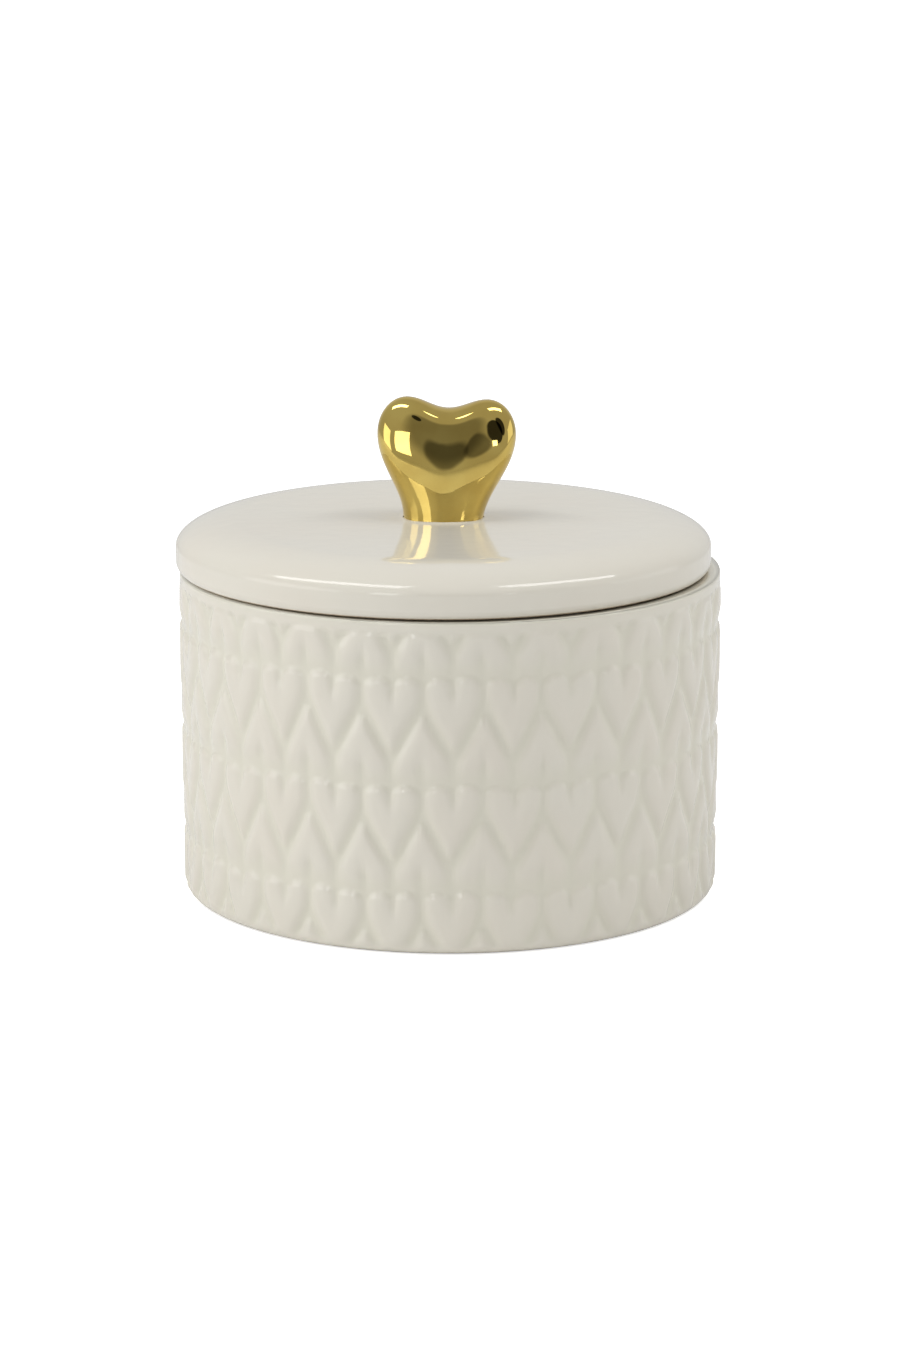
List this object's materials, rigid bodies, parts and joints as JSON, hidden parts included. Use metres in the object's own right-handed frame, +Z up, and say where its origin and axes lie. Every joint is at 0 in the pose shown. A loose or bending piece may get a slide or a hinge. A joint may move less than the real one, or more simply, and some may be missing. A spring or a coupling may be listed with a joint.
{
  "type": "round ceramic trinket pot with heart knob lid",
  "caption": "Round glazed ceramic pot embossed with interlocking hearts, with a soft-edged lift-off lid and a gold heart-shaped knob.",
  "frame": {"origin": "centre of the pot's foot ring, on the pot's axis, at the level it stands on", "axes": "+Z up along the pot's axis and the way the lid lifts, +X to the viewer's right with the heart knob face on, -Y towards the viewer"},
  "size_m": [0.1004, 0.1, 0.0916],
  "materials": {
    "cream_glaze": "glossy cream-white glaze over a heart relief, bare foot ring",
    "cream_glaze_lid": "smooth glossy cream-white glaze, bare locating ring edge",
    "gold_lustre": "mirror-bright gold lustre fired over glaze"
  },
  "bodies": {
    "pot": {"pot_body": "cream_glaze"},
    "lid": {"lid": "cream_glaze_lid", "heart_knob": "gold_lustre"}
  },
  "joints": [
    {"name": "lid_lift", "type": "slide", "parent": "pot", "child": "lid", "axis": [0, 0, 1], "range_m": [0, 0.06]}
  ]
}
